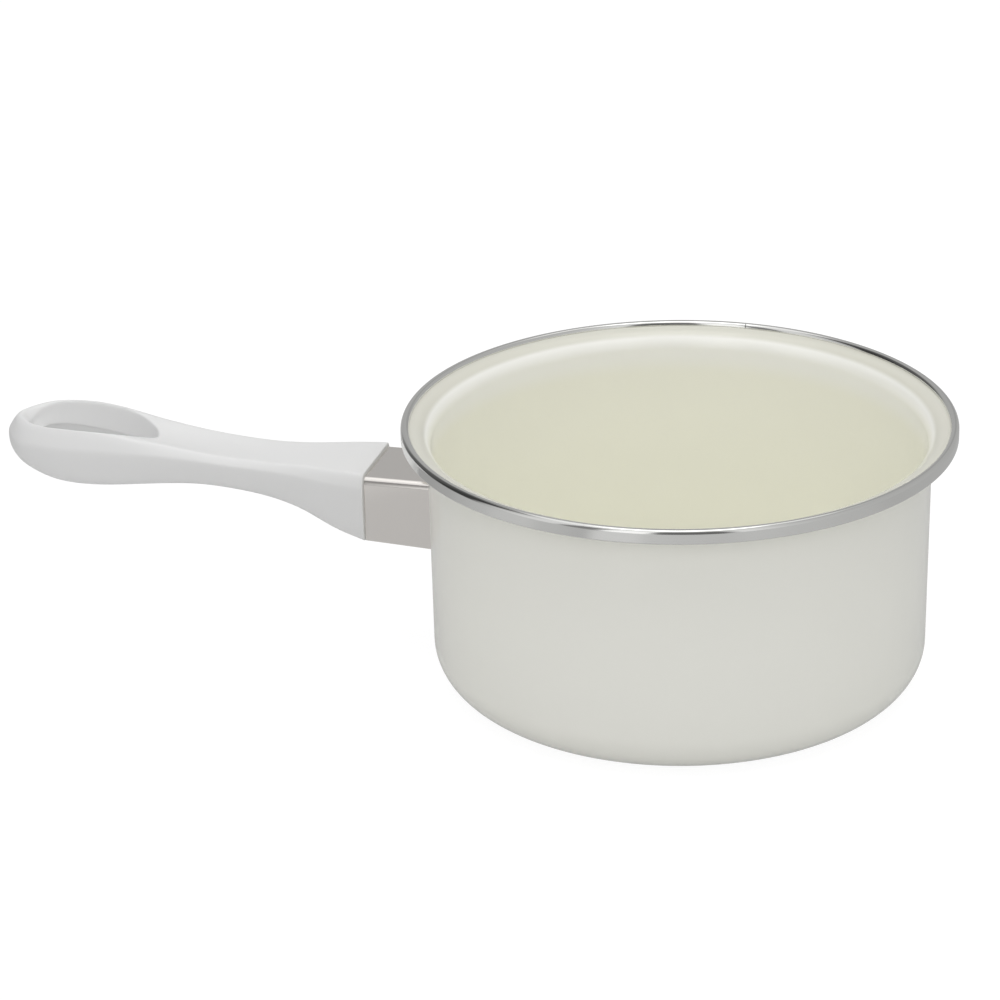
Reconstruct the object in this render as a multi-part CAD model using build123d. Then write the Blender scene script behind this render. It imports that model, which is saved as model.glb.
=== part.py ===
from build123d import *
import math
import os

# Milk pan: a pressed steel bowl, white enamel outside and a cream coat inside, with a stainless band
# over its flared lip and a white moulded handle that one long screw draws against the pan.
# Millimetres. The origin is the centre of the flat underside, +Z is up and the handle points along -X.

# Bowl
body_radius = 80.0          # outside of the wall, under the flare
wall_draft = 0.3            # how much smaller the wall's radius is at the base
pan_height = 87.65          # from the table to the crest of the rim band
base_corner = 13.4          # round between the flat underside and the wall
steel_thickness = 0.8
enamel_thickness = 0.25     # each coat
flare_radius = 5.0          # underside of the flare, where the wall turns outward
lip_bend = 0.3              # inside radius where the flange turns down

# Rim band
band_overhang = 8.2         # how far the band's skirt stands outside the wall
band_width = 2.8            # as seen from above
band_depth = 4.5            # from the crest to the foot of its skirt
band_thickness = 0.45
band_hem = 1.5              # how far the foot is turned in under the lip
band_clearance = 0.1        # between the band and the lip in it
band_seam = 0.25            # butt joint of the strip's two ends
band_seam_degrees = 87.0    # where that joint is, from +X

# Ferrule: the stainless sleeve between pan and handle
ferrule_length = 21.2       # from the wall's outside to the handle
ferrule_width = 29.3
ferrule_hang = 19.9         # from the band's foot down to the ferrule's top
ferrule_height = 22.0       # at the handle
ferrule_drop = 1.0          # how much lower its underside is at the pan
ferrule_thickness = 0.8
ferrule_corner = 1.5
ferrule_clearance = 0.15    # to the wall, and to the spigot inside it

# Handle moulding
handle_length = 129.3       # shoulder to tip
handle_half_width = 16.8    # at the loop, its widest place
handle_proud = 1.25         # how far the shoulder stands above the ferrule
handle_below = 0.5         # how far the shoulder stands below the ferrule
handle_beside = 1.45        # how far the shoulder stands out beside the ferrule
waist_half_width = 11.5
loop_nose = 22.0            # length of the rounded end, from the widest place to the tip
top_round = 2.9
under_round = 2.0
shoulder_round = 0.5
spigot_length = 6.0

# Hanging loop
loop_length = 45.1
loop_arm = 4.5              # width of the moulding beside the loop
loop_wall = 7.9             # from the loop to the handle's tip
loop_round = 1.3

# Bracket, screw and nut, which stand on one rising line
rise_degrees = 2.8
screw_share = 0.62          # how far up the shoulder's height the line leaves the bracket
bracket_thickness = 1.5
bracket_gap = 1.35          # from the ferrule's inside to the bracket
bracket_tab = 7.5           # width of each tab that is welded to the wall
screw_diameter = 4.0
screw_clearance = 0.25      # round the shank
screw_run_out = 3.0         # how far the point stands out of the nut
point_chamfer = 0.6
thread_clearance = 0.05     # between the plain shank and the nut
head_step = 1.5             # how far the head stands out round the shank
head_height = 2.6
head_round = 0.7
head_clearance = 0.25       # round the head in its recess
head_sink = 2.2             # from the loop's end wall to the head
cross_width = 1.0
cross_inset = 1.6           # from the head's rim to each end of the cross
cross_depth = 1.5
washer_step = 1.5           # how far the flat washer stands out round the shank
washer_thickness = 0.8
spring_step = 1.4           # how far the spring washer stands out round the shank
spring_thickness = 0.9
spring_gap = 0.9
nut_wall = 1.5              # from the shank to each flat of the nut
nut_thickness = 3.2
overrun = 2.0               # how far a cutting solid passes the face it cuts

# Worked out from the sizes above
wall_thickness = steel_thickness + 2 * enamel_thickness
band_arch = band_width / 2
arch_height = pan_height - band_arch
flange_height = arch_height - band_clearance / 2
flare_height = flange_height - flare_radius - wall_thickness
band_radius = body_radius + band_overhang
lip_radius = band_radius - band_thickness - band_clearance
lip_centre = lip_radius - lip_bend - wall_thickness
band_foot = pan_height - band_depth
lip_foot = band_foot + band_thickness + band_clearance
base_radius = body_radius - wall_draft
ferrule_end = body_radius + ferrule_length
ferrule_top = band_foot - ferrule_hang
handle_depth = ferrule_height + handle_proud + handle_below
handle_foot = ferrule_top + handle_proud - handle_depth
shoulder_half_width = ferrule_width / 2 + handle_beside
loop_half_width = handle_half_width - loop_arm
loop_near = ferrule_end + handle_length - loop_wall - loop_length
spigot_face = ferrule_end - spigot_length
screw_height = handle_foot + screw_share * handle_depth
bracket_width = ferrule_width - 2 * ferrule_thickness - 2 * bracket_gap
bracket_above = ferrule_top - ferrule_thickness - bracket_gap - screw_height
bracket_below = screw_height - ferrule_top + ferrule_height - ferrule_thickness - bracket_gap
head_diameter = screw_diameter + 2 * head_step
cross_span = head_diameter - 2 * cross_inset
washer_diameter = screw_diameter + 2 * washer_step
spring_diameter = screw_diameter + 2 * spring_step
nut_flats = screw_diameter + 2 * nut_wall
nut_face = bracket_thickness + nut_thickness
seat_distance = loop_near - head_sink - head_height - spring_thickness - washer_thickness - spigot_face

# The handle's lines, along it as shares of its length, and across it as shares of its sizes
shoulder_shares = [(0.083, 0.74), (0.175, 0.217), (0.267, 0.0), (0.359, 0.04)]
loop_side_shares = [(0.451, 0.094), (0.543, 0.245), (0.635, 0.47), (0.728, 0.774)]
crown_shares = [(0.0, 1.0), (0.083, 0.987), (0.175, 0.97), (0.267, 0.956), (0.359, 0.972), (0.451, 1.01),
                (0.543, 1.072), (0.635, 1.147), (0.728, 1.217), (0.82, 1.24), (0.896, 1.23),
                (0.958, 1.2), (1.0, 1.15)]
belly_shares = [(0.0, 0.0), (0.083, 0.162), (0.175, 0.358), (0.267, 0.486), (0.359, 0.558), (0.451, 0.585),
                (0.543, 0.56), (0.635, 0.522), (0.728, 0.506), (0.82, 0.551), (0.896, 0.669),
                (0.958, 0.79), (1.0, 0.87)]
nose_shares = [(0.305, 0.923), (0.573, 0.8), (0.8, 0.57), (0.936, 0.31), (1.0, 0.0)]
shoulder_slope_share = 0.12  # how fast the sides draw in right behind the shoulder
loop_full_share = 0.36      # of the loop's length, from its widest place to its far end


def save(shape, name):
    export_step(shape, f"parts/{name}.step")


def rising_plane(distance):
    """A plane square to the screw's line, this far from the bracket's end web toward the tip."""
    rise = math.radians(rise_degrees)
    direction = Vector(-math.cos(rise), 0, math.sin(rise))
    start = Vector(-spigot_face, 0, screw_height)
    return Plane(origin=start + direction * distance, x_dir=(0, -1, 0), z_dir=direction)


def bar(outline, start, end):
    """An outline drawn square to the screw's line and extruded between two distances along it."""
    return extrude(rising_plane(start) * outline, end - start)


def rod(diameter, start, end):
    return bar(Circle(diameter / 2), start, end)


def bowl_line(depth):
    """The bowl's section at a depth below its outside surface, from the axis to the lip's foot."""
    corner = base_corner - depth
    flare = flare_radius + depth
    bend = lip_bend + depth
    corner_x = base_radius - base_corner
    flare_x = body_radius + flare_radius
    bend_height = flange_height - lip_bend - wall_thickness
    turn = math.sqrt(0.5)
    floor_edge = (corner_x, depth)
    wall_foot = (base_radius - depth, base_corner)
    wall_top = (body_radius - depth, flare_height)
    flare_top = (flare_x, flare_height + flare)
    flange_edge = (lip_centre, bend_height + bend)
    lip_side = (lip_centre + bend, bend_height)
    return [
        Line((0, depth), floor_edge),
        ThreePointArc(floor_edge, (corner_x + corner * turn, base_corner - corner * turn), wall_foot),
        Line(wall_foot, wall_top),
        ThreePointArc(wall_top, (flare_x - flare * turn, flare_height + flare * turn), flare_top),
        Line(flare_top, flange_edge),
        ThreePointArc(flange_edge, (lip_centre + bend * turn, bend_height + bend * turn), lip_side),
        Line(lip_side, (lip_side[0], lip_foot)),
    ]


def bowl_layer(outside, inside):
    """One layer of the bowl, between two depths below its outside surface."""
    outer = bowl_line(outside)
    inner = bowl_line(inside)
    foot = Line(outer[-1] @ 1, inner[-1] @ 1)
    centre = Line((0, outside), (0, inside))
    return revolve(Plane.XZ * make_face(outer + inner + [foot, centre]), Axis.Z)


def bowl_block(margin):
    """A solid block of the bowl's outside shape up to the flare, larger by a margin."""
    lines = bowl_line(-margin)[:3]
    top = lines[-1] @ 1
    lid = Line(top, (0, top.Y))
    centre = Line((0, top.Y), (0, -margin))
    return revolve(Plane.XZ * make_face(lines + [lid, centre]), Axis.Z)


def make_band():
    """The strip over the lip: an arch on top, a skirt outside and a hem turned in under the lip."""
    inner_arch = band_arch - band_thickness
    middle = band_radius - band_arch
    skirt_inside = band_radius - band_thickness
    hem_edge = band_radius - band_hem
    hem_top = band_foot + band_thickness
    outline = [
        ThreePointArc((middle - band_arch, arch_height), (middle, pan_height), (band_radius, arch_height)),
        Line((band_radius, arch_height), (band_radius, hem_top)),
        ThreePointArc(
            (band_radius, hem_top),
            (skirt_inside + band_thickness * math.sqrt(0.5), hem_top - band_thickness * math.sqrt(0.5)),
            (skirt_inside, band_foot),
        ),
        Line((skirt_inside, band_foot), (hem_edge, band_foot)),
        Line((hem_edge, band_foot), (hem_edge, hem_top)),
        Line((hem_edge, hem_top), (skirt_inside, hem_top)),
        Line((skirt_inside, hem_top), (skirt_inside, arch_height)),
        ThreePointArc(
            (skirt_inside, arch_height), (middle, arch_height + inner_arch), (middle - inner_arch, arch_height)
        ),
        Line((middle - inner_arch, arch_height), (middle - band_arch, arch_height)),
    ]
    ring = revolve(Plane.XZ * make_face(outline), Axis.Z)
    slit = Box(band_width + 2 * overrun, band_seam, band_depth + 2 * overrun)
    return ring - Rot(0, 0, band_seam_degrees) * Pos(middle, 0, pan_height - band_depth / 2) * slit


def ferrule_block(inset, start, end, corner):
    """The ferrule's tapered box, inset all round, between two distances from the pan's axis."""
    slope = ferrule_drop / (ferrule_end - body_radius)
    top = ferrule_top - inset
    low = ferrule_top - ferrule_height + inset
    side = ferrule_width / 2 - inset
    outline = Polyline(
        (-start, top),
        (-end, top),
        (-end, low - slope * (ferrule_end - end)),
        (-start, low - slope * (ferrule_end - start)),
        close=True,
    )
    block = extrude(Pos(0, side, 0) * (Plane.XZ * make_face(outline)), 2 * side)
    along = [edge for edge in block.edges() if abs((edge % 0.5).X) > math.cos(math.radians(20))]
    return fillet(along, corner)


def make_ferrule():
    """A pressed sleeve with its pan end cut to the round of the wall."""
    start = body_radius - 2 * overrun
    outside = ferrule_block(0, start, ferrule_end, ferrule_corner)
    inside_corner = ferrule_corner - ferrule_thickness
    inside = ferrule_block(ferrule_thickness, start - overrun, ferrule_end + overrun, inside_corner)
    return outside - inside - bowl_block(ferrule_clearance)


def bracket_outline(width):
    height = bracket_above + bracket_below
    return Pos(0, (bracket_above - bracket_below) / 2) * Rectangle(width, height)


def make_bracket():
    """A bent strap: an end web for the screw, two cheeks, and a tab on each that is welded to the wall."""
    reach = spigot_face - body_radius + 2 * overrun
    block = bar(bracket_outline(bracket_width), -reach, 0)
    hollow = bar(bracket_outline(bracket_width - 2 * bracket_thickness), -reach, -bracket_thickness)
    between_tabs = bar(bracket_outline(bracket_width - 2 * bracket_tab), -reach, -bracket_thickness)
    tabs = (block & bowl_block(bracket_thickness)) - between_tabs
    screw_hole = rod(screw_diameter + 2 * screw_clearance, -bracket_thickness - overrun, overrun)
    return block - hollow + tabs - bowl_block(0) - screw_hole


def make_nut():
    """The hexagon nut behind the bracket's web."""
    hexagon = RegularPolygon(nut_flats / 2, 6, major_radius=False)
    blank = bar(hexagon, -nut_face, -bracket_thickness)
    return blank - rod(screw_diameter + 2 * thread_clearance, -nut_face - overrun, 0)


def make_screw():
    """The long screw: a domed cross head, a plain shank and a chamfered point past the nut."""
    point = -nut_face - screw_run_out
    head_start = seat_distance + washer_thickness + spring_thickness
    shank = rod(screw_diameter, point, head_start)
    shank = chamfer(shank.edges().sort_by(Axis.X)[-1], point_chamfer)
    head = rod(head_diameter, head_start, head_start + head_height)
    head = fillet(head.edges().sort_by(Axis.X)[0], head_round)
    floor = head_start + head_height - cross_depth
    cross = Rectangle(cross_width, cross_span) + Rectangle(cross_span, cross_width)
    return shank + head - bar(cross, floor, floor + cross_depth + overrun)


def make_washer(diameter, start, thickness):
    hole = rod(screw_diameter + 2 * screw_clearance, start - overrun, start + thickness + overrun)
    return rod(diameter, start, start + thickness) - hole


def make_spring_washer():
    """A split washer: a ring cut through on its upper side."""
    start = seat_distance + washer_thickness
    ring = make_washer(spring_diameter, start, spring_thickness)
    slit = Pos(0, spring_diameter / 2) * Rectangle(spring_gap, spring_diameter)
    return ring - bar(slit, start - overrun, start + spring_thickness + overrun)


def handle_x(along):
    return -ferrule_end - along * handle_length


def plan_face():
    """The handle from above: a waist between shoulder and loop, and a blunt rounded nose."""
    widest = -ferrule_end - handle_length + loop_nose
    shoulder_gain = shoulder_half_width - waist_half_width
    loop_gain = handle_half_width - waist_half_width
    points = [(-ferrule_end, shoulder_half_width)]
    points += [(handle_x(along), waist_half_width + gain * shoulder_gain) for along, gain in shoulder_shares]
    points += [(handle_x(along), waist_half_width + gain * loop_gain) for along, gain in loop_side_shares]
    points.append((widest, handle_half_width))
    side = Spline(*points, tangents=[(-1, -shoulder_slope_share), (-1, 0)])
    nose_points = [(widest - along * loop_nose, across * handle_half_width) for along, across in nose_shares]
    nose = Spline((widest, handle_half_width), *nose_points, tangents=[(-1, 0), (0, -1)])
    half = [Line((-ferrule_end, 0), points[0]), side, nose]
    return make_face(half + [mirror(line, Plane.XZ) for line in half])


def elevation_face():
    """The handle from the side, between its crown line and its belly line."""
    crown = [(handle_x(along), handle_foot + height * handle_depth) for along, height in crown_shares]
    belly = [(handle_x(along), handle_foot + height * handle_depth) for along, height in belly_shares]
    ends = [Line(crown[0], belly[0]), Line(crown[-1], belly[-1])]
    return make_face([Spline(*crown), Spline(*belly)] + ends)


def loop_face():
    """The hanging loop from above: an egg shape, fuller toward the tip."""
    far_half = loop_length * loop_full_share
    widest = (-loop_near - loop_length + far_half, 0)
    far = EllipticalCenterArc(widest, far_half, loop_half_width, start_angle=90, arc_size=180)
    near = EllipticalCenterArc(widest, loop_length - far_half, loop_half_width, start_angle=-90, arc_size=180)
    return make_face([far, near])


def side_edges(face):
    """The edges of a crown or belly face that lie along the handle's sides and nose."""
    return [edge for edge in face.edges() if abs((edge @ 0.5).Y) > waist_half_width / 2]


def make_handle_body():
    """The rounded moulding, before its loop, spigot and screw hole."""
    height = max(share for along, share in crown_shares) * handle_depth + 2 * overrun
    wide = handle_half_width + overrun
    body = extrude(Pos(0, 0, handle_foot - overrun) * plan_face(), height)
    body &= extrude(Pos(0, wide, 0) * (Plane.XZ * elevation_face()), 2 * wide)
    body = fillet(side_edges(body.faces().sort_by(Axis.Z)[-1]), top_round)
    body = fillet(side_edges(body.faces().sort_by(Axis.Z)[0]), under_round)
    return fillet(body.faces().sort_by(Axis.X)[-1].edges(), shoulder_round)


def make_handle():
    """The moulding, with the loop through it and the spigot that enters the ferrule."""
    body = make_handle_body()
    body -= extrude(Pos(0, 0, handle_foot) * loop_face(), 2 * handle_depth)
    body = fillet([edge for edge in body.edges() if is_loop_rim(edge)], loop_round)
    inset = ferrule_thickness + ferrule_clearance
    corner = ferrule_corner - ferrule_thickness
    spigot = ferrule_block(inset, spigot_face - overrun, ferrule_end + overrun, corner)
    body += spigot - bar(Rectangle(2 * ferrule_width, 4 * ferrule_height), -2 * overrun, 0)
    body -= rod(screw_diameter + 2 * screw_clearance, -overrun, seat_distance + overrun)
    recess_end = loop_near - spigot_face + 2 * overrun
    return body - rod(head_diameter + 2 * head_clearance, seat_distance, recess_end)


def is_loop_rim(edge):
    """Whether an edge goes round the loop's upper or lower mouth."""
    middle = edge @ 0.5
    past_near = -middle.X - loop_near
    inside_x = -loop_round < past_near < loop_length + loop_round
    inside_y = abs(middle.Y) < loop_half_width + loop_round
    return inside_x and inside_y and abs((edge % 0.5).Z) < math.sqrt(0.5)


def main():
    os.makedirs("parts", exist_ok=True)
    coat_depth = enamel_thickness + steel_thickness
    save(bowl_layer(0, coat_depth), "pan_body")
    save(bowl_layer(coat_depth, wall_thickness), "cream_lining")
    save(make_band(), "rim_band")
    save(make_bracket(), "handle_bracket")
    save(make_nut(), "bracket_nut")
    save(make_ferrule(), "ferrule")
    save(make_handle(), "handle")
    save(make_screw(), "handle_screw")
    save(make_washer(washer_diameter, seat_distance, washer_thickness), "flat_washer")
    save(make_spring_washer(), "spring_washer")


main()
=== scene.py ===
import math

import bmesh
import bpy
from mathutils import Matrix, Vector


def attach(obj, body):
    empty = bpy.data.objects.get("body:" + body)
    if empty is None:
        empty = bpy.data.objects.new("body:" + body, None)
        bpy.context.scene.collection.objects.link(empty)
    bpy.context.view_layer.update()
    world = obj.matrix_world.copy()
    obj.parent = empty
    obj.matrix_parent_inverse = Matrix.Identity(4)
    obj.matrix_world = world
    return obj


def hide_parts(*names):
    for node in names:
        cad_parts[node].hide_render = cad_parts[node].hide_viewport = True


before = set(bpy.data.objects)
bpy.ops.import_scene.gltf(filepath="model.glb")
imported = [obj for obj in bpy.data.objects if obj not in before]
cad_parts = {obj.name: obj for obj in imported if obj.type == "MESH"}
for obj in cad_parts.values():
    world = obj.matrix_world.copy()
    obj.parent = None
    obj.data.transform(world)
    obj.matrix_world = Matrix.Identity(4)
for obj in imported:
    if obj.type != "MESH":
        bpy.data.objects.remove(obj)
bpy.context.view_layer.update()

# An enamelled milk pan: bowl, cream lining, steel rim band, steel ferrule and a moulded handle.
# Sizes are in millimetres and are turned to metres where a point is made.
MM = 0.001


# Sizes that the pieces share with the solids
BODY_RADIUS = 80.0
BASE_RADIUS = 79.7
BASE_CORNER = 13.4
FLOOR_STEPS = (0.0, 20.0, 40.0, 55.0)       # radii of the points along the flat floor
WALL_MIDDLE = 45.0          # height of the wall's middle point
WALL_DRAFT = 0.15           # how much narrower the wall is there
COAT_DEPTH = 1.05           # steel and the outside enamel
WALL_DEPTH = 1.3            # and the cream coat
FLARE_RADIUS = 5.0
FLANGE_HEIGHT = 86.2
LIP_RADIUS = 87.65
LIP_BEND = 0.3
LIP_FOOT = 83.7
BAND_RADIUS = 88.19
BAND_ARCH = 1.4
BAND_THICKNESS = 0.45
BAND_CREST = 87.64
BAND_FOOT = 83.15
BAND_HEM = 1.5
BAND_SEAM_ANGLE = 87.0      # of the strip's butt joint, from +X
BAND_SEAM = 0.25
BAND_SEAM_REACH = 6.0       # of the cut that leaves the joint: across the strip and in height
BAND_SEAM_HEIGHT = 12.0
FERRULE_END = 101.2
FERRULE_TOP = 63.25
FERRULE_HEIGHT = 22.0
FERRULE_HALF_WIDTH = 14.65
FERRULE_THICKNESS = 0.8
FERRULE_CORNER = 2.6
FERRULE_FOOT_CORNER = 0.9
FERRULE_CORNER_STEPS = 12
FERRULE_FOOT_STEPS = 8
FERRULE_CUTS = 15           # across its faces, so that the rounded edges shade evenly
FERRULE_DROP = 1.0          # of its underside toward the wall
FERRULE_OVERLAP = 6.0       # how far it starts inside the wall before it is cut round
FERRULE_EDGE = 0.12
WALL_GAP = 0.12             # between the wall and the ferrule's cut end
WALL_CUTTER_HEIGHT = 80.0
WALL_CUTTER_MIDDLE = 50.0
TURN_STEPS = 256
TURN_WELD = 0.002           # points closer than these are one point
SHEET_WELD = 0.02
BORE_WELD = 0.001


# Helpers for modelling

def edit(piece):
    """Opens one piece in edit mode with nothing selected."""
    bpy.ops.object.select_all(action="DESELECT")
    bpy.context.view_layer.objects.active = piece
    piece.select_set(True)
    bpy.ops.object.mode_set(mode="EDIT")
    bpy.ops.mesh.select_all(action="DESELECT")


def finish_piece(piece, material, node):
    """Gives the piece its material, puts it on the pan and hides the solid it stands for."""
    piece.data.materials.clear()
    piece.data.materials.append(material)
    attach(piece, "root")
    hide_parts(node)


def apply_modifier(piece, kind, **settings):
    """Adds a modifier with its settings and applies it."""
    bpy.ops.object.select_all(action="DESELECT")
    bpy.context.view_layer.objects.active = piece
    piece.select_set(True)
    modifier = piece.modifiers.new(kind.title(), kind)
    for name, value in settings.items():
        setattr(modifier, name, value)
    bpy.ops.object.modifier_apply(modifier=modifier.name)


def smooth(piece, degrees):
    """Shades the piece smooth, apart from edges sharper than an angle."""
    bpy.ops.object.select_all(action="DESELECT")
    bpy.context.view_layer.objects.active = piece
    piece.select_set(True)
    bpy.ops.object.shade_smooth_by_angle(angle=math.radians(degrees))


def arc(centre, radius, start, end, steps):
    """Points of an arc in the radius and height plane, its angles in degrees from outward."""
    turns = [math.radians(start + (end - start) * i / steps) for i in range(steps + 1)]
    return [(centre[0] + radius * math.cos(t), centre[1] + radius * math.sin(t)) for t in turns]


def turned(name, section, closed):
    """A section of (radius, height) points, drawn by extruding one vertex and spun round the pan's axis."""
    bpy.ops.mesh.primitive_plane_add(size=MM, location=(section[0][0] * MM, 0, section[0][1] * MM))
    piece = bpy.context.object
    piece.name = name
    bpy.ops.object.transform_apply(location=True)
    edit(piece)
    bpy.ops.mesh.select_all(action="SELECT")
    bpy.ops.mesh.merge(type="CENTER")
    here = section[0]
    for point in section[1:]:
        step = ((point[0] - here[0]) * MM, 0, (point[1] - here[1]) * MM)
        bpy.ops.mesh.extrude_vertices_move(TRANSFORM_OT_translate={"value": step})
        here = point
    if closed:
        bpy.ops.mesh.select_all(action="SELECT")
        bpy.ops.mesh.remove_doubles(threshold=MM * TURN_WELD)
    bpy.ops.mesh.select_all(action="SELECT")
    bpy.ops.mesh.spin(steps=TURN_STEPS, angle=math.tau, center=(0, 0, 0), axis=(0, 0, 1))
    bpy.ops.mesh.select_all(action="SELECT")
    bpy.ops.mesh.remove_doubles(threshold=MM * TURN_WELD)
    bpy.ops.mesh.normals_make_consistent(inside=False)
    bpy.ops.object.mode_set(mode="OBJECT")
    return piece


# Bowl

def bowl_line(depth):
    """The bowl's section at a depth below its outside, from the axis to the lip's foot."""
    lip_centre = LIP_RADIUS - LIP_BEND - WALL_DEPTH
    bend_height = FLANGE_HEIGHT - LIP_BEND - WALL_DEPTH
    flare_height = FLANGE_HEIGHT - FLARE_RADIUS - WALL_DEPTH
    floor = [(radius, depth) for radius in FLOOR_STEPS]
    corner = arc((BASE_RADIUS - BASE_CORNER, BASE_CORNER), BASE_CORNER - depth, -90, 0, 20)
    wall = [(BODY_RADIUS - WALL_DRAFT - depth, WALL_MIDDLE)]
    flare = arc((BODY_RADIUS + FLARE_RADIUS, flare_height), FLARE_RADIUS + depth, 180, 90, 16)
    bend = arc((lip_centre, bend_height), LIP_BEND + depth, 90, 0, 8)
    lip = [(lip_centre + LIP_BEND + depth, LIP_FOOT)]
    return floor + corner + wall + flare + bend + lip


def bowl_shell(material):
    """The pressed steel bowl with its white coat."""
    section = bowl_line(0) + bowl_line(COAT_DEPTH)[::-1]
    piece = turned("bowl_shell", section, False)
    smooth(piece, 40)
    finish_piece(piece, material, "pan_body")


def cream_coat(material):
    """The cream enamel inside, from the floor up over the flare."""
    section = bowl_line(COAT_DEPTH) + bowl_line(WALL_DEPTH)[::-1]
    piece = turned("cream_coat", section, False)
    smooth(piece, 40)
    finish_piece(piece, material, "cream_lining")


# Rim band

def rim_strip(material):
    """The steel strip rolled over the lip."""
    middle = (BAND_RADIUS - BAND_ARCH, BAND_CREST - BAND_ARCH)
    inside = BAND_ARCH - BAND_THICKNESS
    skirt_inside = BAND_RADIUS - BAND_THICKNESS
    foot = arc((skirt_inside, BAND_FOOT + BAND_THICKNESS), BAND_THICKNESS, 0, -90, 6)
    hem = [(BAND_RADIUS - BAND_HEM, BAND_FOOT), (BAND_RADIUS - BAND_HEM, BAND_FOOT + BAND_THICKNESS),
           (skirt_inside, BAND_FOOT + BAND_THICKNESS)]
    section = arc(middle, BAND_ARCH, 180, 0, 24) + foot + hem + arc(middle, inside, 0, 180, 12)
    section.append(section[0])
    piece = turned("rim_strip", section, True)
    seam = math.radians(BAND_SEAM_ANGLE)
    place = Vector((math.cos(seam) * middle[0] * MM, math.sin(seam) * middle[0] * MM, middle[1] * MM))
    bpy.ops.mesh.primitive_cube_add(size=1, location=place, rotation=(0, 0, seam))
    cutter = bpy.context.object
    cutter.scale = (BAND_SEAM_REACH * MM, BAND_SEAM * MM, BAND_SEAM_HEIGHT * MM)
    bpy.context.view_layer.update()
    apply_modifier(piece, "BOOLEAN", object=cutter, operation="DIFFERENCE", solver="EXACT")
    bpy.data.objects.remove(cutter)
    smooth(piece, 50)
    finish_piece(piece, material, "rim_band")


# Ferrule

def select_along(piece, low=-math.inf, high=math.inf):
    """Selects the edges that run along the handle's line, between two heights."""
    bpy.ops.mesh.select_all(action="DESELECT")
    mesh = bmesh.from_edit_mesh(piece.data)
    for edge in mesh.edges:
        along = edge.verts[0].co - edge.verts[1].co
        height = (edge.verts[0].co.z + edge.verts[1].co.z) / 2
        edge.select = abs(along.x) > abs(along.y) + abs(along.z) and low < height < high
    bmesh.update_edit_mesh(piece.data)


def steel_sleeve(material):
    """The square sleeve between bowl and handle, its far end cut to the wall's round."""
    middle = (FERRULE_TOP - FERRULE_HEIGHT / 2) * MM
    start = -(BODY_RADIUS - FERRULE_OVERLAP) * MM
    end = -FERRULE_END * MM
    bpy.ops.mesh.primitive_cube_add(size=1, location=((start + end) / 2, 0, middle))
    piece = bpy.context.object
    piece.name = "steel_sleeve"
    piece.scale = (abs(end - start), 2 * FERRULE_HALF_WIDTH * MM, FERRULE_HEIGHT * MM)
    bpy.ops.object.transform_apply(location=True, scale=True)
    edit(piece)
    mesh = bmesh.from_edit_mesh(piece.data)
    slope = FERRULE_DROP / (FERRULE_END - BODY_RADIUS)
    for vert in mesh.verts:
        vert.select = vert.co.x > (start + end) / 2 and vert.co.z < middle
    mesh.select_flush_mode()
    bmesh.update_edit_mesh(piece.data)
    drop = slope * (FERRULE_END - BODY_RADIUS + FERRULE_OVERLAP)
    bpy.ops.transform.translate(value=(0, 0, -drop * MM))
    select_along(piece, low=middle)
    bpy.ops.mesh.bevel(offset=FERRULE_CORNER * MM, segments=FERRULE_CORNER_STEPS, affect="EDGES")
    select_along(piece, high=middle)
    bpy.ops.mesh.bevel(offset=FERRULE_FOOT_CORNER * MM, segments=FERRULE_FOOT_STEPS, affect="EDGES")
    select_along(piece)
    bpy.ops.mesh.subdivide(number_cuts=FERRULE_CUTS)
    bpy.ops.mesh.select_all(action="DESELECT")
    mesh = bmesh.from_edit_mesh(piece.data)
    for face in mesh.faces:
        face.select = abs(face.normal.x) > 0.9
    bmesh.update_edit_mesh(piece.data)
    bpy.ops.mesh.delete(type="FACE")
    bpy.ops.mesh.select_all(action="SELECT")
    bpy.ops.mesh.normals_make_consistent(inside=False)
    bpy.ops.object.mode_set(mode="OBJECT")
    apply_modifier(piece, "SOLIDIFY", thickness=FERRULE_THICKNESS * MM, offset=-1)
    bpy.ops.mesh.primitive_cylinder_add(
        vertices=TURN_STEPS * 2, radius=(BODY_RADIUS + WALL_GAP) * MM, depth=WALL_CUTTER_HEIGHT * MM,
        location=(0, 0, WALL_CUTTER_MIDDLE * MM)
    )
    cutter = bpy.context.object
    apply_modifier(piece, "BOOLEAN", object=cutter, operation="DIFFERENCE", solver="EXACT")
    bpy.data.objects.remove(cutter)
    apply_modifier(piece, "BEVEL", width=FERRULE_EDGE * MM, segments=2, limit_method="ANGLE",
                   angle_limit=math.radians(50))
    smooth(piece, 40)
    apply_modifier(piece, "WEIGHTED_NORMAL", keep_sharp=True, weight=100)
    finish_piece(piece, material, "ferrule")


# Handle

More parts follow.
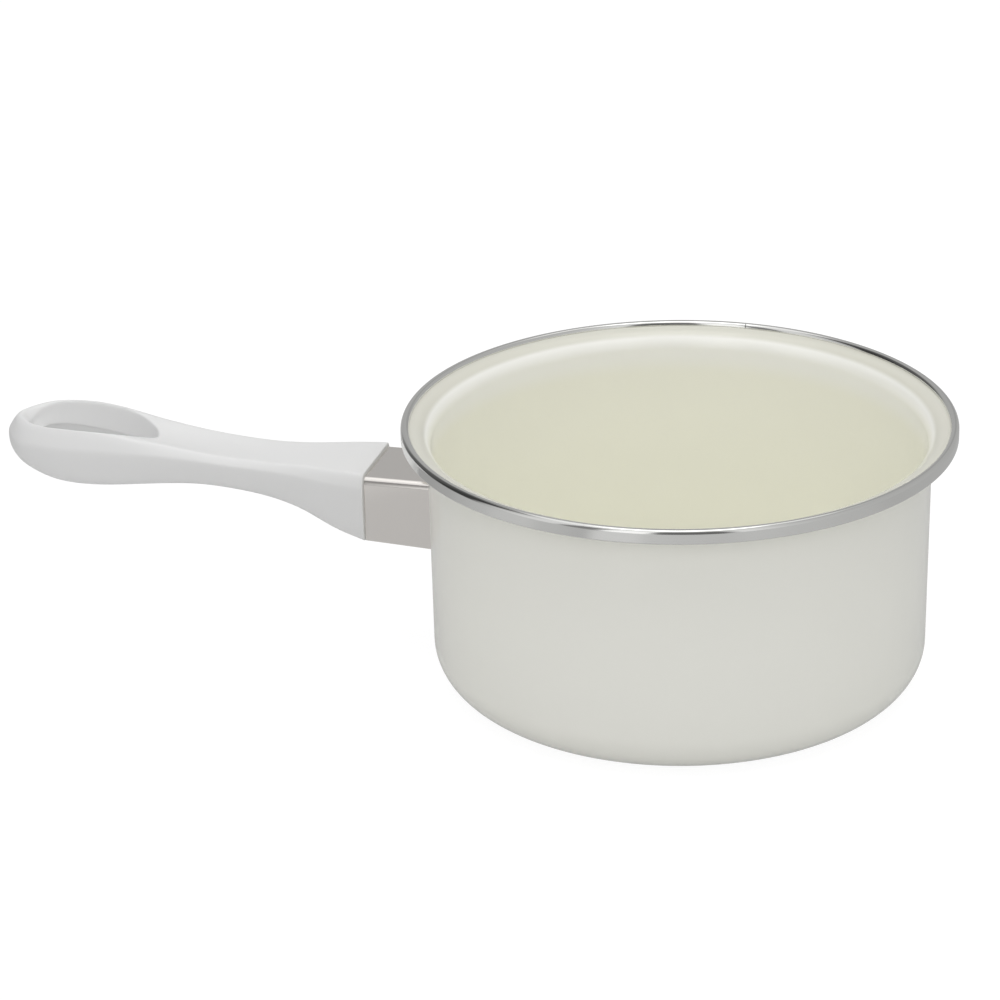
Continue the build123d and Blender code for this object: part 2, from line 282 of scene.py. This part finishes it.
# One row per station: distance from the pan's axis, half width, crown height, underside height,
# shoulder width, shoulder drop, and how deep the top is dished between its ridges.
STATIONS = [
    (101.2, 16.1, 64.5, 40.8, 2.2, 5.9, 0.0),
    (112.0, 14.9, 64.3, 43.75, 2.4, 5.3, 0.0),
    (124.0, 12.5, 63.9, 48.65, 2.4, 3.9, 0.1),
    (136.0, 11.5, 63.65, 51.6, 2.5, 2.9, 0.3),
    (148.0, 11.7, 64.1, 53.3, 2.7, 2.7, 0.7),
    (160.0, 12.0, 65.2, 54.0, 3.0, 2.9, 1.2),
    (172.0, 12.8, 66.85, 53.35, 3.4, 4.0, 2.0),
    (184.0, 14.0, 68.85, 52.5, 3.8, 5.6, 2.6),
    (196.0, 15.6, 70.3, 52.05, 4.0, 6.6, 2.6),
    (208.0, 16.8, 70.8, 53.1, 4.2, 6.9, 2.6),
    (218.0, 15.1, 70.75, 55.8, 4.3, 6.8, 2.6),
    (226.0, 11.2, 70.8, 59.2, 4.8, 6.4, 2.6),
    (232.0, 0.0, 71.1, 62.2, 5.2, 6.0, 2.6),
]
NECK_PLACES = (102.2, 105.5, 112, 118, 124, 130, 136, 142, 148, 154, 160, 166, 171, 175)
# Each place round the loop: a point of the outline and one of the hole's rim, along and across
LOOP_PLACES = (
    ((182.0, None), (181.2, 5.9)),
    ((188.5, None), (186.8, 9.2)),
    ((195.0, None), (194.0, 11.2)),
    ((202.0, None), (201.6, 12.2)),
    ((209.0, None), (208.6, 12.3)),
    ((215.7, 15.5), (214.2, 11.4)),
    ((221.6, 14.0), (218.2, 9.3)),
    ((226.4, 9.9), (220.8, 6.4)),
    ((229.25, 5.0), (222.0, 3.5)),
    ((230.33, 2.2), (222.5, 1.3)),
    ((230.58, 0.0), (222.6, 0.0)),
)
HOLE_END = ((178.3, 3.2), (177.4, 0.0))     # the rim's pan end, off the middle and on it
HOLE_DRAFT = 2.3            # how far the hole's wall leans in from its edge to the parting line
UNDER_ROUND = 2.6           # of the handle's lower edges
HOLE_MIDDLE = 199.0
PARTING_HEIGHT = 61.9       # of the line inside the hole where the two mould halves meet, at its middle
PARTING_RISE = 0.09         # its rise toward the tip for each millimetre
PARTING_START = 183.0       # nearer the pan it keeps its height
DISH_REACH = 8.5            # how far from the middle the dished top ends
SPIGOT_HALF_WIDTH = 13.7
SPIGOT_TOP = 62.3
SPIGOT_FOOT = 42.2
SPIGOT_FACE = 95.2
SPIGOT_CORNER = 1.5
SPIGOT_CORNER_CUT = 0.45
SPIGOT_MIDDLE = 53.0
SCREW_HEIGHT = 55.38        # of its line where it leaves the spigot
SCREW_RISE = 2.8            # of its line toward the tip, in degrees
SCREW_HOLE_RADIUS = 2.25
SEAT_DISTANCE = 75.8        # of the washer's seat from the spigot's face
RECESS_RADIUS = 3.75
RECESS_LENGTH = 14
BORE_STEPS = 64


def station(along):
    """The handle's sizes at a distance from the pan's axis, between the rows on a smooth curve."""
    last = len(STATIONS) - 1
    i = max(k for k in range(last) if k == 0 or along >= STATIONS[k][0])
    before, here, there, after = (STATIONS[min(max(k, 0), last)] for k in (i - 1, i, i + 1, i + 2))
    gap = there[0] - here[0]
    t = (along - here[0]) / gap
    sizes = []
    for k in range(1, len(here)):
        leave = (there[k] - before[k]) / (there[0] - before[0]) * gap
        arrive = (after[k] - here[k]) / (after[0] - here[0]) * gap
        sizes.append(
            (2 * t ** 3 - 3 * t ** 2 + 1) * here[k] + (t ** 3 - 2 * t ** 2 + t) * leave
            + (3 * t ** 2 - 2 * t ** 3) * there[k] + (t ** 3 - t ** 2) * arrive
        )
    return sizes


def point(along, across, height):
    """A point at a distance from the pan's axis along the handle, one across it and a height."""
    return Vector((-along * MM, across * MM, height * MM))


def neck_row(along):
    """The neck's half section, from the middle of its top round its side to the middle below."""
    width, crown, under, shoulder, drop, dish = station(along)
    ridge = width - 0.92 * shoulder
    return [
        point(along, 0.0, crown - dish),
        point(along, 0.48 * ridge, crown - 0.8 * dish),
        point(along, 0.88 * ridge, crown - 0.12 * dish),
        point(along, ridge, crown),
        point(along, width - 0.50 * shoulder, crown - 0.31 * drop),
        point(along, width - 0.10 * shoulder, crown - 0.74 * drop),
        point(along, width, crown - drop),
        point(along, width, under + UNDER_ROUND),
        point(along, width - 0.5, under + 0.4),
        point(along, width - UNDER_ROUND, under),
        point(along, 0.6 * width, under),
        point(along, 0.3 * width, under),
        point(along, 0.0, under),
    ]


def spigot_row(along, inset):
    """The spigot's half outline, with the neck section's count of points."""
    side = SPIGOT_HALF_WIDTH - inset
    top = SPIGOT_TOP - inset
    foot = SPIGOT_FOOT + inset
    corner = SPIGOT_CORNER
    cut = SPIGOT_CORNER_CUT
    outline = [
        (0, top), (0.5 * side, top), (0.85 * side, top),
        (side - corner, top), (side - cut, top - cut), (side, top - corner),
        (side, (top + foot) / 2),
        (side, foot + corner), (side - cut, foot + cut), (side - corner, foot),
        (0.7 * side, foot), (0.35 * side, foot), (0, foot),
    ]
    return [point(along, across, height) for across, height in outline]


def rim_column(rim, inward):
    """The hole's wall from the edge above to the edge below, at a point of its rim."""
    along, across = rim
    crown, under = station(along)[1:3]
    crown -= station(along)[5] * max(0.0, 1 - across / DISH_REACH)
    parting = PARTING_HEIGHT + PARTING_RISE * (max(along, PARTING_START) - HOLE_MIDDLE)

    def at(reach, height):
        return point(along + inward[0] * reach, across + inward[1] * reach, height)

    return [
        at(-0.55, crown - 0.05),
        at(0.05, crown - 0.75),
        at(0.55, crown - 2.6),
        at(HOLE_DRAFT, parting + 0.25),
        at(HOLE_DRAFT, parting - 0.15),
        at(HOLE_DRAFT - 1.0, parting - 0.6),
        at(0.1, under + 0.8),
        at(-0.7, under + 0.05),
    ]


def loop_row(outer, rim):
    """The section of the loop's arm, from the hole's upper edge out and round to its lower edge."""
    along, across = outer
    width, crown, under, shoulder, drop = station(along)[:5]
    across = width if across is None else across
    reach = math.hypot(rim[0] - along, rim[1] - across)
    inward = ((rim[0] - along) / reach, (rim[1] - across) / reach)

    def at(distance, height):
        return point(along + inward[0] * distance, across + inward[1] * distance, height)

    ridge = min(0.92 * shoulder, reach - 0.9)
    ridge_crown = station(along + inward[0] * ridge)[1]
    middle_under = station(along + inward[0] * reach / 2)[2]
    side = crown - drop - under
    column = rim_column(rim, inward)
    return [
        column[0],
        at(ridge, ridge_crown),
        at(0.55 * shoulder, crown - 0.27 * drop),
        at(0.16 * shoulder, crown - 0.76 * drop),
        at(0.0, crown - drop),
        at(0.0, under + min(UNDER_ROUND, 0.35 * side)),
        at(0.5, under + 0.4),
        at(2.0, (under + middle_under) / 2),
        *column[::-1],
    ]


def lay(name, rows):
    """A sheet of faces: a grid primitive with a vertex for each point, moved row by row to its place."""
    across = len(rows[0])
    bpy.ops.mesh.primitive_grid_add(x_subdivisions=across - 1, y_subdivisions=len(rows) - 1, size=MM)
    sheet = bpy.context.object
    sheet.name = name
    for i, row in enumerate(rows):
        for j, place in enumerate(row):
            sheet.data.vertices[i * across + j].co = place
    sheet.location = (0, 0, 0)
    return sheet


def join_sheets(name, sheets):
    """Joins sheets that share their edges' points into one."""
    bpy.ops.object.select_all(action="DESELECT")
    for sheet in sheets:
        sheet.select_set(True)
    bpy.context.view_layer.objects.active = sheets[0]
    bpy.ops.object.join()
    sheets[0].name = name
    edit(sheets[0])
    bpy.ops.mesh.select_all(action="SELECT")
    bpy.ops.mesh.remove_doubles(threshold=MM * SHEET_WELD)
    bpy.ops.mesh.normals_make_consistent(inside=False)
    bpy.ops.object.mode_set(mode="OBJECT")
    return sheets[0]


def bore(piece, radius, start, end):
    """Cuts a round hole along the screw's line, between two distances from the spigot's face."""
    rise = math.radians(SCREW_RISE)
    line = Vector((-math.cos(rise), 0, math.sin(rise)))
    centre = Vector((-SPIGOT_FACE, 0, SCREW_HEIGHT)) + line * (start + end) / 2
    bpy.ops.mesh.primitive_cylinder_add(vertices=BORE_STEPS, radius=radius * MM, depth=(end - start) * MM)
    cutter = bpy.context.object
    turn = line.to_track_quat("Z", "Y").to_matrix().to_4x4()
    cutter.matrix_world = Matrix.Translation(centre * MM) @ turn
    bpy.context.view_layer.update()
    apply_modifier(piece, "BOOLEAN", object=cutter, operation="DIFFERENCE", solver="EXACT")
    bpy.data.objects.remove(cutter)


def handle_moulding(material):
    """One white moulding: spigot, shoulder, neck and the two arms of the loop, mirrored from one half."""
    end_row = neck_row(FERRULE_END)
    cap = [Vector((place.x, 0, place.z)) for place in spigot_row(SPIGOT_FACE, 0.3)]
    face = [place + (Vector((place.x, 0, SPIGOT_MIDDLE * MM)) - place) * 0.03 for place in end_row]
    lead = [Vector((-(FERRULE_END + 0.2) * MM, place.y, place.z)) for place in end_row]
    rows = [
        cap,
        spigot_row(SPIGOT_FACE, 0.3),
        spigot_row(SPIGOT_FACE + 0.3, 0),
        spigot_row(FERRULE_END - 0.2, 0),
        spigot_row(FERRULE_END, -0.1),
        face,
        lead,
    ]
    rows += [neck_row(along) for along in NECK_PLACES]
    neck = rows[-1]
    arm = [loop_row(outer, rim) for outer, rim in LOOP_PLACES]
    middle = rim_column(HOLE_END[1], (1, 0))
    between = rim_column(HOLE_END[0], (0.94, -0.34))
    corner = arm[0]
    inner_wall = [corner[0]] + corner[14:7:-1]
    wall = [[neck[0], neck[1], neck[2]]]
    wall += [list(places) for places in zip(middle, between, inner_wall)]
    wall.append([neck[12], neck[11], neck[10]])
    sheets = [
        lay("neck", rows),
        lay("flank", [neck[2:11], corner[:9]]),
        lay("hole_end", wall),
        lay("arm", arm),
    ]
    piece = join_sheets("handle_moulding", sheets)
    apply_modifier(piece, "MIRROR", use_axis=(False, True, False), merge_threshold=MM * SHEET_WELD)
    edit(piece)
    bpy.ops.mesh.select_all(action="SELECT")
    bpy.ops.mesh.normals_make_consistent(inside=False)
    bpy.ops.object.mode_set(mode="OBJECT")
    apply_modifier(piece, "SUBSURF", levels=3, render_levels=3)
    bore(piece, RECESS_RADIUS, SEAT_DISTANCE, SEAT_DISTANCE + RECESS_LENGTH)
    bore(piece, SCREW_HOLE_RADIUS, -2, SEAT_DISTANCE + 1)
    edit(piece)
    bpy.ops.mesh.select_all(action="SELECT")
    bpy.ops.mesh.remove_doubles(threshold=MM * BORE_WELD)
    bpy.ops.object.mode_set(mode="OBJECT")
    smooth(piece, 45)
    finish_piece(piece, material, "handle")


# Materials

class Socket:
    """A shader value that reads as arithmetic: an operator on it adds a Math node."""

    def __init__(self, tree, link):
        self.tree = tree
        self.link = link

    def math(self, operation, first, second=0.0):
        return self.tree.node("ShaderNodeMath", {"operation": operation}, {0: first, 1: second})

    def __add__(self, other):
        return self.math("ADD", self, other)

    def __radd__(self, other):
        return self.math("ADD", other, self)

    def __rsub__(self, other):
        return self.math("SUBTRACT", other, self)

    def __mul__(self, other):
        return self.math("MULTIPLY", self, other)

    def __pow__(self, other):
        return self.math("POWER", self, other)


class Shader:
    """The node tree of a material or the world."""

    def __init__(self, owner):
        owner.use_nodes = True
        self.tree = owner.node_tree
        self.tree.nodes.clear()

    def node(self, kind, settings=None, values=None, out=0):
        """Adds a node: its settings first, then a value or a link for each named socket."""
        new = self.tree.nodes.new(kind)
        for name, value in (settings or {}).items():
            setattr(new, name, value)
        for name, value in (values or {}).items():
            if isinstance(value, Socket):
                self.tree.links.new(value.link, new.inputs[name])
            else:
                new.inputs[name].default_value = value
        return Socket(self, new.outputs[out])

    def surface(self, socket):
        output = self.tree.nodes.new("ShaderNodeOutputMaterial")
        self.tree.links.new(socket.link, output.inputs["Surface"])


def noise(shader, place, scale, detail, roughness=0.5):
    """A soft random value from 0 to 1 that changes over the surface."""
    return shader.node("ShaderNodeTexNoise", {}, {
        "Vector": place, "Scale": scale, "Detail": detail, "Roughness": roughness,
    })


def blend(shader, factor, first, second):
    """A colour between two, by a factor."""
    return shader.node("ShaderNodeMix", {"data_type": "RGBA"}, {0: factor, 6: first, 7: second}, out=2)


def object_place(shader):
    """The point on the piece, in its own axes."""
    return shader.node("ShaderNodeTexCoord", out=3)


# Each coat's or metal's two tones, between which it drifts
WHITE_TONES = ((0.895, 0.89, 0.83, 1), (0.885, 0.885, 0.82, 1))
CREAM_TONES = ((0.90, 0.895, 0.80, 1), (0.89, 0.885, 0.79, 1))
BRACKET_TONES = ((0.70, 0.70, 0.66, 1), (0.685, 0.69, 0.65, 1))
STRIP_TONES = ((0.82, 0.82, 0.80, 1), (0.78, 0.78, 0.765, 1))
SLEEVE_TONES = ((0.91, 0.875, 0.84, 1), (0.88, 0.845, 0.81, 1))
MOULDING_TONES = ((0.77, 0.77, 0.77, 1), (0.75, 0.75, 0.745, 1))
ZINC_TONES = ((0.66, 0.68, 0.70, 1), (0.50, 0.52, 0.55, 1))
GRAIN_DEPTH = 0.0000008     # of the fine lines in the steel, in metres
GRAIN_STRETCH = 0.03        # how much slower they change along the sleeve than across it
GRAIN_TURN = 0.002          # and round the strip
# Painted light and shade in the cream coat by height, in metres: from, to and the tone it reaches. The wall
# is painted lighter, a paler band below the rim is a painted glow, and the flange by the band is painted
# darker as painted shade.
CREAM_PAINTED_LIGHT = (
    (0.030, 0.062, (0.92, 0.915, 0.82, 1)),
    (0.071, 0.0785, (0.94, 0.938, 0.90, 1)),
    (0.0838, 0.0851, (0.69, 0.683, 0.605, 1)),
)


def enamel(name, colour, deep, painted_light=()):
    """Glass fused on steel: glossy, faintly uneven in thickness, with a soft orange peel.

    The last argument gives painted light and shade by height: from, to and colour of each. It paints the
    wall lighter, a pale glow ring below the rim as a painted highlight, and painted shade on the flange by
    the band.
    """
    material = bpy.data.materials.new(name)
    shader = Shader(material)
    place = object_place(shader)
    cloud = noise(shader, place, scale=14.0, detail=3.0)
    tone = blend(shader, cloud, colour, deep)
    # Painted light and shade: the tone is blended by height toward lighter and darker tones.
    for low, high, painted_tone in painted_light:
        height = shader.node("ShaderNodeSeparateXYZ", {}, {0: place}, out=2)
        lift = shader.node("ShaderNodeMapRange", {"interpolation_type": "SMOOTHSTEP"},
                           {"Value": height, "From Min": low, "From Max": high})
        tone = blend(shader, lift, tone, painted_tone)
    specks = noise(shader, place, scale=900.0, detail=1.0)
    peel = noise(shader, place, scale=160.0, detail=2.0)
    rough = 0.16 + cloud * 0.06 + specks * 0.03
    skin = peel + specks * 0.15
    bump = shader.node("ShaderNodeBump", {}, {"Strength": 0.06, "Distance": 0.0004, "Height": skin})
    surface = shader.node("ShaderNodeBsdfPrincipled", {}, {
        "Base Color": tone, "Roughness": rough, "Normal": bump, "IOR": 1.5,
        "Coat Weight": 0.3, "Coat Roughness": 0.08,
    })
    shader.surface(surface)
    return material


def steel(name, colour, dark, rough, grain_scale, round_axis, wave):
    """Stainless sheet with fine lines along its grain and a faint wave left by the rolling."""
    material = bpy.data.materials.new(name)
    shader = Shader(material)
    place = object_place(shader)
    waves = noise(shader, place, scale=34.0, detail=1.0)
    if round_axis:
        split = shader.tree.nodes.new("ShaderNodeSeparateXYZ")
        shader.tree.links.new(place.link, split.inputs[0])
        x, y, z = (Socket(shader, split.outputs[i]) for i in range(3))
        radius = (x * x + y * y) ** 0.5
        turn = shader.node("ShaderNodeMath", {"operation": "ARCTAN2"}, {0: y, 1: x})
        place = shader.node("ShaderNodeCombineXYZ", {}, {0: radius, 1: turn * GRAIN_TURN, 2: z})
    else:
        place = shader.node("ShaderNodeMapping", {}, {"Vector": place, "Scale": (GRAIN_STRETCH, 1.0, 1.0)})
    grain = noise(shader, place, grain_scale, detail=3.0, roughness=0.6)
    broad = noise(shader, object_place(shader), scale=30.0, detail=2.0)
    tone = blend(shader, grain * 0.5 + broad * 0.4, colour, dark)
    height = grain * GRAIN_DEPTH + waves * wave
    bump = shader.node("ShaderNodeBump", {}, {"Strength": 1.0, "Distance": 1.0, "Height": height})
    surface = shader.node("ShaderNodeBsdfPrincipled", {}, {
        "Base Color": tone, "Metallic": 1.0, "Roughness": rough + grain * (rough * 0.5), "Normal": bump,
    })
    shader.surface(surface)
    return material


def moulding():
    """White phenolic with a faint flow in its colour and a fine moulded skin."""
    material = bpy.data.materials.new("white_moulding")
    shader = Shader(material)
    place = object_place(shader)
    drawn_out = shader.node("ShaderNodeMapping", {}, {"Vector": place, "Scale": (0.35, 1.0, 1.0)})
    flow = noise(shader, drawn_out, scale=40.0, detail=3.0)
    skin = noise(shader, place, scale=1400.0, detail=2.0)
    tone = blend(shader, flow, *MOULDING_TONES)
    bump = shader.node("ShaderNodeBump", {}, {"Strength": 0.04, "Distance": 0.0002, "Height": skin + flow})
    surface = shader.node("ShaderNodeBsdfPrincipled", {}, {
        "Base Color": tone, "Roughness": 0.34 + skin * 0.05 + flow * 0.04, "Normal": bump, "IOR": 1.48,
    })
    shader.surface(surface)
    return material


def zinc():
    """Zinc plate with its faint cloudy bloom."""
    material = bpy.data.materials.new("zinc_plate")
    shader = Shader(material)
    place = object_place(shader)
    bloom = noise(shader, place, scale=260.0, detail=3.0)
    lines = noise(shader, place, scale=2200.0, detail=2.0)
    tone = blend(shader, bloom, *ZINC_TONES)
    bump = shader.node("ShaderNodeBump", {}, {"Strength": 0.1, "Distance": 0.00005, "Height": lines})
    surface = shader.node("ShaderNodeBsdfPrincipled", {}, {
        "Base Color": tone, "Metallic": 1.0, "Roughness": 0.24 + bloom * 0.14, "Normal": bump,
    })
    shader.surface(surface)
    return material


# Stage

VIEW_TURN = 12.4            # in degrees, how far the handle points away from the picture plane
VIEW_HEIGHT = 24.734        # of the line from the camera down to the pan
VIEW_ASIDE = 3.195          # how far the camera is turned from the pan's middle
VIEW_RAISED = 0.953         # and tilted up from it
CAMERA_PLACE = (0.20176, -0.91766, 0.47284)
CAMERA_REACH = 50           # farthest distance that it sees, in metres
LENS = 115.2


def turned_toward(first, second, angle):
    """Two directions at right angles, turned by an angle from the first toward the second."""
    return (first * math.cos(angle) + second * math.sin(angle),
            second * math.cos(angle) - first * math.sin(angle))


def set_camera():
    """The camera in front of the pan and above it."""
    turn, height = math.radians(VIEW_TURN), math.radians(VIEW_HEIGHT)
    aside, raised = math.radians(VIEW_ASIDE), math.radians(VIEW_RAISED)
    right = Vector((math.cos(turn), math.sin(turn), 0))
    level = math.cos(height)
    ahead = Vector((-level * math.sin(turn), level * math.cos(turn), -math.sin(height)))
    up = right.cross(ahead)
    right, ahead = turned_toward(right, ahead, aside)
    ahead, up = turned_toward(ahead, up, raised)
    camera = bpy.data.objects.new("camera", bpy.data.cameras.new("camera"))
    bpy.context.scene.collection.objects.link(camera)
    camera.data.lens = LENS
    camera.data.clip_end = CAMERA_REACH
    axes = Matrix((right, up, -ahead)).transposed().to_4x4()
    camera.matrix_world = Matrix.Translation(CAMERA_PLACE) @ axes
    bpy.context.scene.camera = camera


# Each lamp's name, place, the point it faces, size and power
LAMPS = (
    ("overhead_softbox", (0.0, 0.0, 1.6), (0, 0, 0), (1.35, 1.35), 12.0),
    ("front_panel", (0.36, -1.75, 1.35), (0, 0, 0.06), (1.4, 0.8), 5.0),
    ("left_panel", (-1.15, -0.75, 1.35), (0, 0, 0.06), (0.9, 0.9), 0.8),
    ("right_panel", (1.38, -0.2, 1.35), (0, 0, 0.06), (0.9, 0.9), 0.8),
)


def soft_lamp(name, place, aim, size, power):
    """A flat lamp whose shape no surface mirrors."""
    lamp = bpy.data.lights.new(name, "AREA")
    lamp.shape = "RECTANGLE"
    lamp.size, lamp.size_y = size
    lamp.energy = power
    holder = bpy.data.objects.new(name, lamp)
    bpy.context.scene.collection.objects.link(holder)
    holder.visible_glossy = False
    holder.location = place
    holder.rotation_euler = (Vector(aim) - Vector(place)).to_track_quat("-Z", "Y").to_euler()


def light_path(shader, kinds):
    """One where the ray is of one of these kinds, zero elsewhere."""
    path = shader.tree.nodes.new("ShaderNodeLightPath")
    total = Socket(shader, path.outputs[kinds[0]])
    for kind in kinds[1:]:
        total = total + Socket(shader, path.outputs[kind])
    return shader.node("ShaderNodeMath", {"operation": "MINIMUM"}, {0: total, 1: 1.0})


SEEN = ("Is Camera Ray", "Is Glossy Ray", "Is Transmission Ray")
AMBIENT = 0.54              # the room's light on the pan, where 1 is white
FLOOR_SIZE = 12             # in metres
FLOOR_PAINT = (0.78, 0.78, 0.78, 1)
FLOOR_GLOW = 1.1            # the table's brightness as it is seen
FLOOR_GLOW_MIRRORED = 0.48  # and in reflections
FLOOR_GLOW_SHARE = 0.85     # the rest of what is seen is paint, which keeps the shadow


def set_world():
    """A pale room whose far parts look white."""
    world = bpy.data.worlds.new("room")
    bpy.context.scene.world = world
    shader = Shader(world)
    strength = light_path(shader, SEEN) * (1.0 - AMBIENT) + AMBIENT
    light = shader.node("ShaderNodeBackground", {}, {"Color": (1, 1, 1, 1), "Strength": strength})
    output = shader.tree.nodes.new("ShaderNodeOutputWorld")
    shader.tree.links.new(light.link, output.inputs["Surface"])


def set_floor():
    """A white table that keeps a faint shadow."""
    bpy.ops.mesh.primitive_plane_add(size=FLOOR_SIZE)
    floor = bpy.context.object
    floor.name = "table"
    material = bpy.data.materials.new("white_table")
    shader = Shader(material)
    share = light_path(shader, SEEN) * FLOOR_GLOW_SHARE
    paint = shader.node("ShaderNodeBsdfDiffuse", {}, {"Color": FLOOR_PAINT})
    bright = FLOOR_GLOW - light_path(shader, ("Is Glossy Ray",)) * (FLOOR_GLOW - FLOOR_GLOW_MIRRORED)
    glow = shader.node("ShaderNodeEmission", {}, {"Color": (1, 1, 1, 1), "Strength": bright})
    shader.surface(shader.node("ShaderNodeMixShader", {}, {0: share, 1: paint, 2: glow}))
    floor.data.materials.append(material)


# The light tent, seen only in reflections. Each ring gives the brightness at some azimuths, in degrees
# from the camera's side and positive to the right.
WALL_LIGHT = (
    (-180, 0.45), (-150, 0.43), (-142, 0.22), (-134, 0.12), (-112, 0.09), (-106, 0.05), (-88, 0.05),
    (-80, 0.50), (-74, 0.62), (-60, 0.78), (-49, 0.78), (-44, 0.24), (-33, 0.24), (-28, 1.15), (-14, 1.15),
    (-7, 0.16), (18, 0.15), (25, 0.85), (33, 0.76), (45, 0.62), (60, 0.55), (90, 0.50), (150, 0.46),
    (163, 0.37), (180, 0.45),
)
EAVES_LIGHT = (
    (-180, 0.50), (-150, 0.60), (-140, 0.30), (-85, 0.25), (-76, 0.80), (-14, 0.95), (-4, 0.55), (14, 0.42),
    (26, 0.75), (45, 0.70), (65, 0.50), (90, 0.45), (150, 0.60), (180, 0.50),
)
CEILING_LIGHT = (
    (-180, 0.38), (-172, 0.42), (-163, 1.00), (-60, 0.95), (-30, 0.75), (0, 0.60), (40, 0.62), (60, 0.55),
    (104, 0.55), (114, 1.00), (160, 1.00), (171, 0.42), (180, 0.38),
)
TOP_LIGHT = ((-180, 2.0), (180, 2.0))
# The height of each ring in degrees
TENT = (
    (-6, WALL_LIGHT), (47, WALL_LIGHT), (56, EAVES_LIGHT), (63, CEILING_LIGHT), (71, CEILING_LIGHT),
    (77, TOP_LIGHT), (90, TOP_LIGHT),
)
# The table round the pan, near and far
TABLE_LIGHT = (
    (-180, 0.50), (-150, 0.60), (-145, 0.60), (-135, 0.50), (-125, 0.39), (-105, 0.39), (-95, 0.42),
    (-85, 0.48), (-75, 0.53), (-65, 0.60), (-55, 0.61), (-45, 0.54), (-33, 0.49), (-27, 0.70), (-16, 0.70),
    (-9, 0.61), (5, 0.58), (15, 0.565), (25, 0.59), (45, 0.555), (65, 0.52), (85, 0.47), (145, 0.46),
    (155, 0.48), (180, 0.50),
)
FAR_LIGHT = (
    (-180, 0.46), (-148, 0.46), (-138, 0.14), (-86, 0.12), (-78, 0.50), (-49, 0.60), (-42, 0.40),
    (-33, 0.40), (-27, 0.70), (-14, 0.70), (0, 0.50), (18, 0.50), (45, 0.56), (85, 0.48), (180, 0.46),
)
# How far from the pan's middle each ring of the table lies, in metres
TABLE = ((0.20, TABLE_LIGHT), (0.52, TABLE_LIGHT), (0.85, FAR_LIGHT), (2.3, FAR_LIGHT))
AZIMUTH_STEPS = 180
TENT_STEPS = 48
TABLE_STEPS = 40
TENT_RADIUS = 2.4
SHEEN_HEIGHT = 0.0006       # of the table's sheen over the table


def between(points, place, mix):
    """The value at a place among (place, value) points, mixed by a function between neighbours."""
    for (start, first), (end, last) in zip(points, points[1:]):
        if place <= end:
            share = max(0.0, (place - start) / (end - start))
            share = share * share * (3 - 2 * share)
            return mix(first, last, share)
    return points[-1][1]


def tone_at(rings, azimuth, step):
    """The brightness at an azimuth and a ring's height or distance."""
    def level(first, last, share):
        return first + (last - first) * share

    def ring(first, last, share):
        return level(between(first, azimuth, level), between(last, azimuth, level), share)

    found = between(rings, step, ring)
    return between(found, azimuth, level) if isinstance(found, tuple) else found


def tent_part(name, rings, columns, rows, place):
    """A grid laid round the pan by a function of azimuth and step, which only reflections show."""
    bpy.ops.mesh.primitive_grid_add(x_subdivisions=columns, y_subdivisions=rows, size=2)
    piece = bpy.context.object
    piece.name = name
    light = piece.data.color_attributes.new(name="light", type="FLOAT_COLOR", domain="POINT")
    first, last = rings[0][0], rings[-1][0]
    for vert in piece.data.vertices:
        azimuth = vert.co.x * 180
        step = first + (last - first) * (vert.co.y + 1) / 2
        tone = tone_at(rings, azimuth, step)
        light.data[vert.index].color = (tone, tone, tone, 1)
        turn = math.radians(azimuth - 90 + VIEW_TURN)
        vert.co = place(Vector((math.cos(turn), math.sin(turn), 0)), step)
    material = bpy.data.materials.new(name)
    shader = Shader(material)
    tone = shader.node("ShaderNodeAttribute", {"attribute_name": "light"})
    shader.surface(shader.node("ShaderNodeEmission", {}, {"Color": tone, "Strength": 1.0}))
    piece.data.materials.append(material)
    piece.visible_camera = False
    piece.visible_diffuse = False
    piece.visible_shadow = False
    piece.visible_transmission = False


def set_tent():
    """The tent over the pan and the sheen of the table round it."""
    def on_tent(outward, height):
        lift = math.radians(height)
        return (outward * math.cos(lift) + Vector((0, 0, math.sin(lift)))) * TENT_RADIUS

    def on_table(outward, distance):
        return outward * distance + Vector((0, 0, SHEEN_HEIGHT))

    tent_part("light_tent", TENT, AZIMUTH_STEPS, TENT_STEPS, on_tent)
    tent_part("table_sheen", TABLE, AZIMUTH_STEPS, TABLE_STEPS, on_table)


bpy.context.scene.view_settings.view_transform = "Standard"
set_camera()
set_world()
set_floor()
for lamp in LAMPS:
    soft_lamp(*lamp)
set_tent()

white_enamel = enamel("white_enamel", *WHITE_TONES)
# The cream coat carries painted light and shade by height.
cream_enamel = enamel("cream_enamel", *CREAM_TONES, CREAM_PAINTED_LIGHT)
bracket_enamel = enamel("bracket_enamel", *BRACKET_TONES)
polished = steel("polished_stainless", *STRIP_TONES, rough=0.07, grain_scale=4000.0, round_axis=True,
                 wave=0.0004)
satin = steel("satin_stainless", *SLEEVE_TONES, rough=0.10, grain_scale=2500.0, round_axis=False,
              wave=0.000003)
white_moulding = moulding()
zinc_plate = zinc()

bowl_shell(white_enamel)
cream_coat(cream_enamel)
rim_strip(polished)
steel_sleeve(satin)
handle_moulding(white_moulding)

# The bracket, screw, nut and washers are seen as solids. The pieces above stand for the other solids.
SOLID_MATERIALS = {
    "pan_body": white_enamel,
    "cream_lining": cream_enamel,
    "rim_band": polished,
    "ferrule": satin,
    "handle": white_moulding,
    "handle_bracket": bracket_enamel,
}
for name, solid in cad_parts.items():
    solid.data.materials.clear()
    solid.data.materials.append(SOLID_MATERIALS.get(name, zinc_plate))
